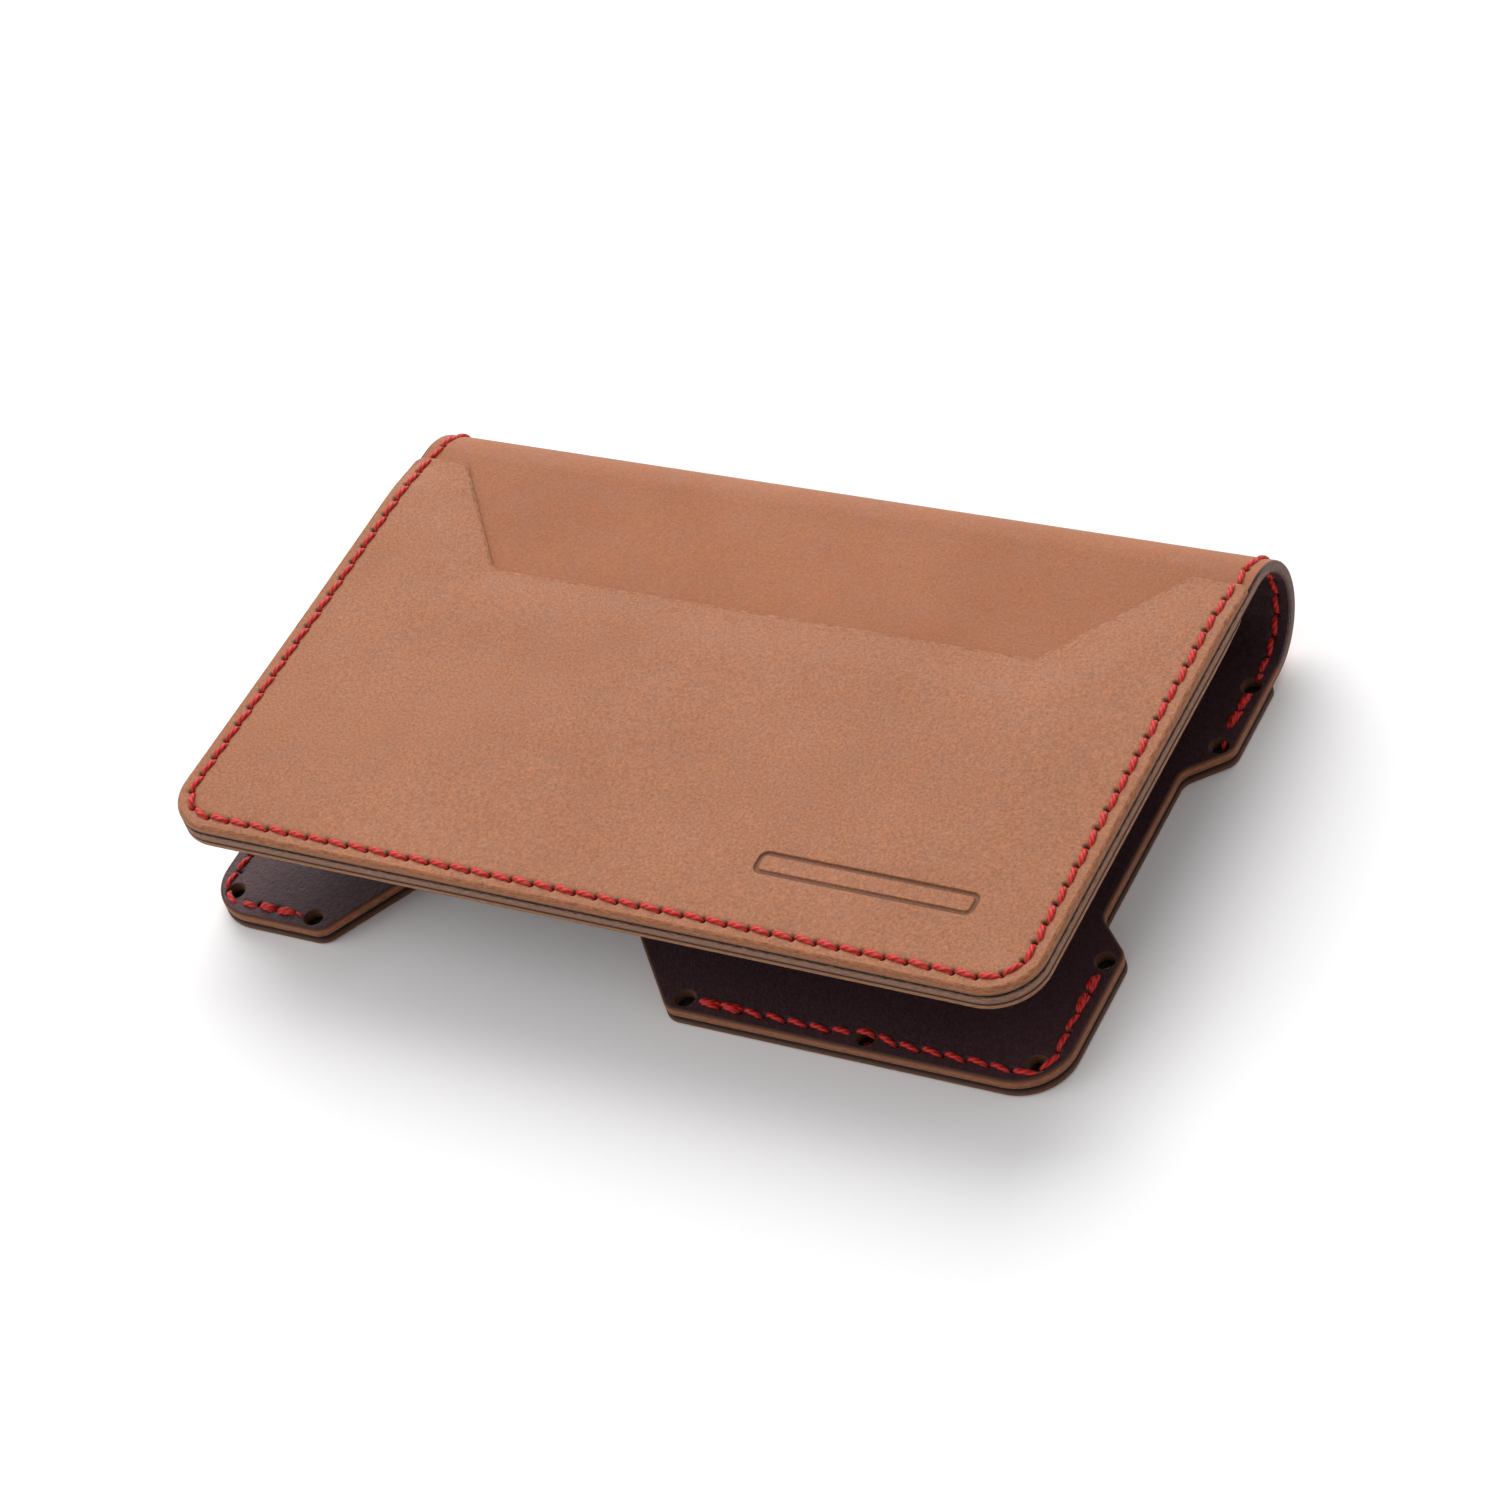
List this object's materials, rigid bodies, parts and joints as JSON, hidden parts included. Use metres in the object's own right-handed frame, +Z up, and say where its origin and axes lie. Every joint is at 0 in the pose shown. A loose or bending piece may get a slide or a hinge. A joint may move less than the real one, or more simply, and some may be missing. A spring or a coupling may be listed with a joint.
{
  "type": "bifold wallet pocket adapter",
  "caption": "Folding leather card pocket in two leaves joined by a rounded spine; its notched back leaf has screw holes to fasten it to a hard card case.",
  "frame": {"origin": "centre of the back leaf's outer face, the face it lies on", "axes": "+X along the spine, +Y from the mouth towards the spine, +Z up from the back leaf to the front leaf"},
  "size_m": [0.1064, 0.0688, 0.0171],
  "materials": {
    "outer_leather": "matte oiled, tan",
    "body_leather": "matte oiled, tan outside and dark brown inside",
    "lining_leather": "matte dark brown with a tan cut edge",
    "thread": "twisted red polyester thread"
  },
  "bodies": {
    "back_leaf": {"back_body": "body_leather", "back_outer_panel": "outer_leather", "back_left_seam_inner": "thread", "back_left_seam_outer": "thread", "back_right_seam_inner": "thread", "back_right_seam_outer": "thread", "back_end_seam_inner": "thread", "back_end_seam_outer": "thread"},
    "spine_1": {"spine_strip_1": "body_leather", "spine_seam_1": "thread"},
    "spine_2": {"spine_strip_2": "body_leather", "spine_seam_2": "thread"},
    "spine_3": {"spine_strip_3": "body_leather", "spine_seam_3": "thread"},
    "spine_4": {"spine_strip_4": "body_leather", "spine_seam_4": "thread"},
    "spine_5": {"spine_strip_5": "body_leather", "spine_seam_5": "thread"},
    "spine_6": {"spine_strip_6": "body_leather", "spine_seam_6": "thread"},
    "spine_7": {"spine_strip_7": "body_leather", "spine_seam_7": "thread"},
    "front_leaf": {"front_body": "body_leather", "front_pocket": "outer_leather", "front_lining": "lining_leather", "front_seam_outer": "thread", "front_seam_inner": "thread"}
  },
  "joints": [
    {"name": "fold_1", "type": "hinge", "parent": "back_leaf", "child": "spine_1", "pos_m": [0, 0.0319, 0.00188], "axis": [-1, 0, 0], "range_deg": [-1, 22.5], "stiffness_Nm_per_rad": 0.45, "springref_deg": 0.67},
    {"name": "fold_2", "type": "hinge", "parent": "spine_1", "child": "spine_2", "pos_m": [0, 0.03431, 0.00287], "axis": [-1, 0, 0], "range_deg": [-1, 22.5], "stiffness_Nm_per_rad": 0.45, "springref_deg": 0.73},
    {"name": "fold_3", "type": "hinge", "parent": "spine_2", "child": "spine_3", "pos_m": [0, 0.03615, 0.00472], "axis": [-1, 0, 0], "range_deg": [-1, 22.5], "stiffness_Nm_per_rad": 0.45, "springref_deg": 0.77},
    {"name": "fold_4", "type": "hinge", "parent": "spine_3", "child": "spine_4", "pos_m": [0, 0.03714, 0.00712], "axis": [-1, 0, 0], "range_deg": [-1, 22.5], "stiffness_Nm_per_rad": 0.45, "springref_deg": 0.79},
    {"name": "fold_5", "type": "hinge", "parent": "spine_4", "child": "spine_5", "pos_m": [0, 0.03714, 0.00972], "axis": [-1, 0, 0], "range_deg": [-1, 22.5], "stiffness_Nm_per_rad": 0.45, "springref_deg": 0.79},
    {"name": "fold_6", "type": "hinge", "parent": "spine_5", "child": "spine_6", "pos_m": [0, 0.03615, 0.01213], "axis": [-1, 0, 0], "range_deg": [-1, 22.5], "stiffness_Nm_per_rad": 0.45, "springref_deg": 0.77},
    {"name": "fold_7", "type": "hinge", "parent": "spine_6", "child": "spine_7", "pos_m": [0, 0.03431, 0.01397], "axis": [-1, 0, 0], "range_deg": [-1, 22.5], "stiffness_Nm_per_rad": 0.45, "springref_deg": 0.73},
    {"name": "fold_8", "type": "hinge", "parent": "spine_7", "child": "front_leaf", "pos_m": [0, 0.0319, 0.01497], "axis": [-1, 0, 0], "range_deg": [-1, 22.5], "stiffness_Nm_per_rad": 0.45, "springref_deg": 0.68}
  ]
}
